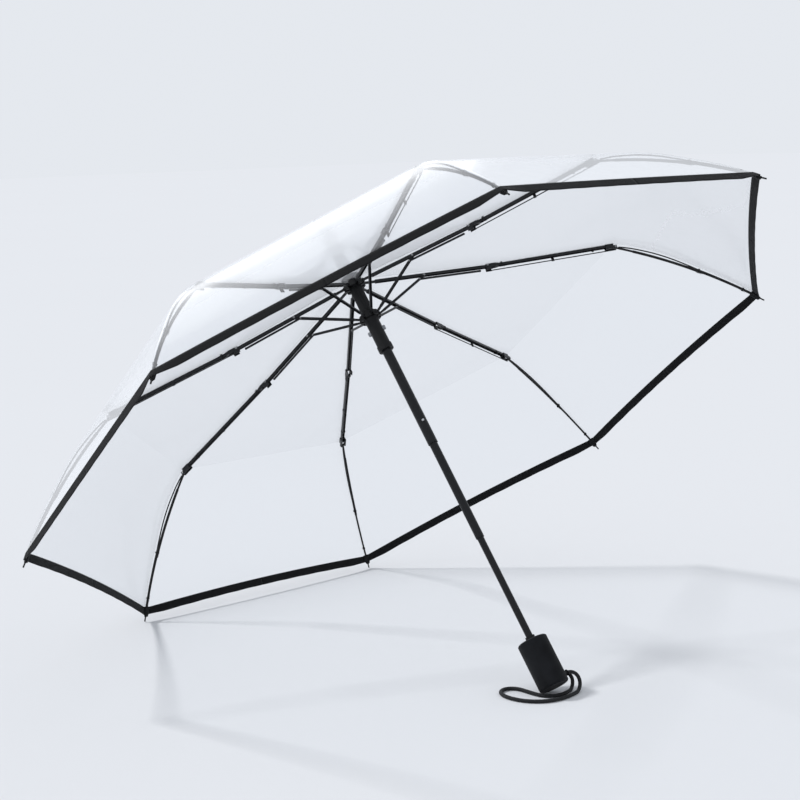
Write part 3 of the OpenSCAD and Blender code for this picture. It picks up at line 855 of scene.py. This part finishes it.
def tie(at, toward_pt, half_w, half_h, lift, turns=4):
    """Turns of thread round a rib at a point in its plane."""
    heading = math.atan2((toward_pt - at).y, (toward_pt - at).x)
    parts = []
    for k in range(turns):
        start_fresh()
        bpy.ops.mesh.primitive_torus_add(
            major_segments=28, minor_segments=8, major_radius=1.0 * MM, minor_radius=0.001 * MM
        )
        loop = bpy.context.object
        bpy.ops.object.mode_set(mode="EDIT")
        bpy.ops.mesh.select_all(action="SELECT")
        bpy.ops.transform.resize(value=(half_h, half_w, 1))
        bpy.ops.transform.shrink_fatten(value=THREAD_R * MM)
        bpy.ops.object.mode_set(mode="OBJECT")
        loop.rotation_euler = (0, math.pi / 2 + TURN_TILT * (k % 2), 0)
        loop.location = ((k - (turns - 1) / 2) * TURN_GAP * MM, 0, lift * MM)
        parts.append(settle(loop, 60))
    start_fresh()
    bpy.ops.mesh.primitive_uv_sphere_add(segments=12, ring_count=8, radius=KNOT_R * MM)
    knot = bpy.context.object
    pick(knot, lambda p: abs(p.x) < 0.3 * MM)
    bpy.ops.transform.resize(value=(1, 0.75, 0.75))
    bpy.ops.object.mode_set(mode="OBJECT")
    knot.scale = (1.5, 0.9, 0.8)
    knot.location = (0, half_w * MM * 0.75, (lift - half_h * 0.75) * MM)
    parts.append(settle(knot, 60))
    for angle in (-0.5, 0.35):
        hang = [Vector((0, 0)), Vector((2.2, -0.8)), Vector((4.4, -1.1 + angle))]
        tail = rod_along("tail", hang, TAIL_R)
        tail.rotation_euler = (0.3, 0, math.pi * (angle > 0) + angle)
        tail.location = (0, half_w * MM * 0.8, (lift - half_h * 0.75) * MM)
        parts.append(settle(tail, 60))
    whole = joined(parts, "tie_part")
    whole.location = (at.x * MM, 0, at.y * MM)
    whole.rotation_euler = (0, -heading, 0)
    return settle(whole, 60)


middle_ties = joined([
    tie(on_segment(knee_pt, elbow_pt, 19), elbow_pt, 2.7, 3.0, 0.7),
    tie(on_segment(elbow_pt, knee_pt, 30), knee_pt, 2.7, 2.9, 0.6),
], "middle_ties")
on_ribs(middle_ties, "ties_middle", "middle_rib", thread_finish)
bow_at = [bowed(elbow_pin, tip_pt, RIB_BOW, t) for t in (0.57, 0.6, 0.88, 0.91)]
outer_ties = joined([
    tie(bow_at[0], bow_at[1], 2.1, 2.9, 0.9), tie(bow_at[2], bow_at[3], 1.7, 2.3, 0.7),
], "outer_ties")
on_ribs(outer_ties, "ties_outer", "outer_rib", thread_finish)

# %% [markdown]
# At each corner a small folded tab of tape holds the rib's end. It starts as a block, cut into
# a grid, whose outer end is narrowed towards the pin and whose sides are pressed thin. A bevel
# and a subdivision make it soft. Its cloth is woven on object coordinates.

# %% Corner tabs
start_fresh()
bpy.ops.mesh.primitive_cube_add(size=1)
tab = bpy.context.object
TAB_SIZE = (13 * MM, 8 * MM, 3.6 * MM)
tab.scale = TAB_SIZE
bpy.ops.object.transform_apply(location=False, rotation=False, scale=True)
bpy.ops.object.mode_set(mode="EDIT")
bpy.ops.mesh.select_all(action="SELECT")
bpy.ops.mesh.subdivide(number_cuts=3)
for outside, squeeze in ((6, (1, 0.62, 0.85)), (3, (1, 0.88, 0.95))):
    pick(tab, lambda p: p.x > outside * MM)
    bpy.ops.transform.resize(value=squeeze)
pick(tab, lambda p: abs(p.y) > 2.5 * MM)
bpy.ops.transform.resize(value=(1, 1, 0.7))
bpy.ops.object.mode_set(mode="OBJECT")
soften = tab.modifiers.new("soften", "BEVEL")
soften.width, soften.segments = 0.7 * MM, 3
tighten = tab.modifiers.new("tighten", "SUBSURF")
tighten.levels = tighten.render_levels = 2
for modifier in ("soften", "tighten"):
    bpy.ops.object.modifier_apply(modifier=modifier)
heading = math.atan2((tip_pt - over_outer[7]).y, (tip_pt - over_outer[7]).x)
tab.location = ((tip_pt.x - 4) * MM, 0, (tip_pt.y + 4.6) * MM)
tab.rotation_euler = (0, -heading, 0)
settle(tab, 60)
print("tab", len(tab.data.vertices), "points")


def fabric(name, level):
    """Woven cloth on object coordinates, for small sewn parts; the weave's colour is painted shade."""
    f = Finish(name)
    x, y, z = f.parts(f.place())
    weave = (x + z).wave(0.0008) * 0.5 + (y - z).wave(0.0008) * 0.5
    lint = f.noise(f.place(), 1700, 3)
    # Painted shade: darker in the gaps of the weave and paler on the thread tops, with a little lint.
    colour = f.blend((weave + lint * 0.4).step(0.3, 1.2), grey(level * 0.5), grey(level * 1.8, 0.2))
    return f.done(f.skin(
        Base_Color=colour, Roughness=0.88 - weave * 0.1, Normal=f.bump(weave + lint * 0.3, 0.00015),
        Sheen_Weight=0.06, Sheen_Roughness=0.4, Specular_IOR_Level=0.12,
    ))


on_ribs(tab, "corner_tab", "outer_rib", fabric("tab_cloth", 0.009))

# %% [markdown]
# The tape is sewn on with a row of stitches near its inner edge, which shows on both sides. A
# stitch is a flattened bead with few faces. One bead is repeated by an Array modifier and laid
# along the hem by a Curve modifier, which is how a long row of equal things is best made.

# %% Stitches
STITCH_IN, STITCH_OUT = 0.8, 0.62  # a share of the tape's depth, and millimetres off the film
HEM_STEPS = 48


def stitch_row(n, side):
    """A row of stitches along one hem, from mid-gore to mid-gore."""
    start_fresh()
    curve = bpy.data.curves.new("stitch_line", "CURVE")
    curve.dimensions = "3D"
    spline = curve.splines.new("POLY")
    spline.points.add(HEM_STEPS)
    for k in range(HEM_STEPS + 1):
        edge, inward, off = hem_frame(n, k / HEM_STEPS - 0.5)
        spot = edge + inward * STITCH_IN + off * (side * STITCH_OUT * MM)
        spline.points[k].co = (*spot, 1)
    path = bpy.data.objects.new("stitch_line", curve)
    bpy.context.scene.collection.objects.link(path)
    spots = [point.co.xyz for point in spline.points]
    length = sum((b - a).length for a, b in zip(spots, spots[1:]))
    bpy.ops.mesh.primitive_uv_sphere_add(segments=6, ring_count=4, radius=1)
    bead = bpy.context.object
    bead.scale = (0.38 * STITCH * MM, 0.34 * MM, 0.26 * MM)
    bead.rotation_euler = (math.pi / 2, 0, 0)
    bpy.ops.object.transform_apply(location=True, rotation=True, scale=True)
    row = bead.modifiers.new("row", "ARRAY")
    row.use_relative_offset, row.use_constant_offset = False, True
    row.constant_offset_displace = (STITCH * MM, 0, 0)
    row.count = int(length / (STITCH * MM))
    lay = bead.modifiers.new("lay", "CURVE")
    lay.object, lay.deform_axis = path, "POS_X"
    for modifier in ("row", "lay"):
        bpy.ops.object.modifier_apply(modifier=modifier)
    bpy.data.objects.remove(path)
    start_fresh()
    bead.select_set(True)
    bpy.context.view_layer.objects.active = bead
    bpy.ops.object.shade_smooth()
    return bead


for n in range(1, RIBS + 1):
    stitches = joined([stitch_row(n, side) for side in (-1, 1)], f"hem_stitches_{n}")
    stitches.data.materials.append(thread_finish)
    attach(stitches, f"outer_rib_{n}")
    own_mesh(stitches)
print("stitches", len(stitches.data.polygons), "faces a corner")

# %% [markdown]
# The cord leaves the grip through two small moulded eyelets. An eyelet starts as a torus, and
# the half of it that lies on the grip's wall is widened into a flange.

# %% Strap eyelets
GRIP_R = 17.5 * MM
RING_R, RING_WALL = 2.55 * MM, 0.6 * MM
FLANGE = 1.14
eyelets = []
for here, there in ((0, 1), (-1, -2)):
    inner, outer = Vector(STRAP_ROUTE[here]) * MM, Vector(STRAP_ROUTE[there]) * MM
    way = (outer - inner).normalized()
    start_fresh()
    bpy.ops.mesh.primitive_torus_add(
        major_segments=32, minor_segments=12, major_radius=RING_R, minor_radius=RING_WALL
    )
    ring = bpy.context.object
    pick(ring, lambda p: p.z < -0.1 * MM)
    bpy.ops.transform.resize(value=(FLANGE, FLANGE, 1))
    bpy.ops.object.mode_set(mode="OBJECT")
    reach = (GRIP_R - abs(inner.y)) / abs(way.y)
    ring.location = inner + way * (reach + 0.1 * MM)
    ring.rotation_euler = Vector((0, -1, 0)).to_track_quat("Z", "Y").to_euler()
    eyelets.append(settle(ring, 60))
eyelet = joined(eyelets, "strap_eyelets")
eyelet.data.materials.append(finishes["black_plastic"])
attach(eyelet, "handle")
print("eyelets", len(eyelet.data.polygons), "faces")

# %% [markdown]
# The studio is a plain pale floor that runs on to the horizon. Its paper is matched to the
# surround, so that lit floor and air have nearly the same tone, and hardly a line shows
# between them.

# %% Floor
FLOOR_SIZE = 60


def studio_floor():
    f = Finish("studio_paper")
    grain = f.noise(f.place(), 900, 3)
    patch = f.noise(f.place(), 0.7, 2)
    colour = f.blend(patch * 0.5 + grain * 0.1, grey(0.64, 0.034), grey(0.655, 0.03))
    return f.done(f.skin(
        Base_Color=colour, Roughness=0.62 + grain * 0.1, Normal=f.bump(grain, 0.0001),
        Specular_IOR_Level=0.0,
    ))


bpy.ops.object.select_all(action="DESELECT")
bpy.ops.mesh.primitive_plane_add(size=FLOOR_SIZE, location=(0, 0, 0))
floor = bpy.context.active_object
floor.name = "studio_floor"
floor.data.materials.append(studio_floor())
print("floor", floor.dimensions[:])

# %% [markdown]
# The air gives even light from all sides. One soft sun, high on the camera's left, gives the
# shadows, and a wide panel, which only shows in reflections, gives the film its sheen.

# %% Lights
MIDDLE = Vector((0, 0, 0.3))


def sky(strength, colour):
    """The same pale light from every direction."""
    world = bpy.data.worlds.new("studio_air")
    bpy.context.scene.world = world
    world.use_nodes = True
    world.node_tree.nodes["Background"].inputs["Color"].default_value = colour
    world.node_tree.nodes["Background"].inputs["Strength"].default_value = strength


def hung(light, azimuth, elevation, distance=0.0):
    """A lamp that far from the umbrella's middle, shining at it; angles are in degrees."""
    a, e = math.radians(azimuth), math.radians(elevation)
    way = Vector((math.cos(a) * math.cos(e), math.sin(a) * math.cos(e), math.sin(e)))
    lamp = bpy.data.objects.new(light.name, light)
    bpy.context.scene.collection.objects.link(lamp)
    lamp.location = MIDDLE + way * distance
    lamp.rotation_euler = way.to_track_quat("Z", "Y").to_euler()
    return lamp


sky(0.86, (0.91, 0.945, 1.0, 1))
key = bpy.data.lights.new("key", "SUN")
key.energy, key.angle = 1.9, math.radians(7)
hung(key, 33, 48)
panel = bpy.data.lights.new("film_panel", "AREA")
panel.shape, panel.size, panel.size_y, panel.energy = "RECTANGLE", 2.4, 1.5, 14
panel_lamp = hung(panel, -22, 30, 3.0)
panel_lamp.visible_camera = panel_lamp.visible_diffuse = False
bpy.context.scene.view_settings.view_transform = "Standard"

# %% [markdown]

# %% Last cell
import json
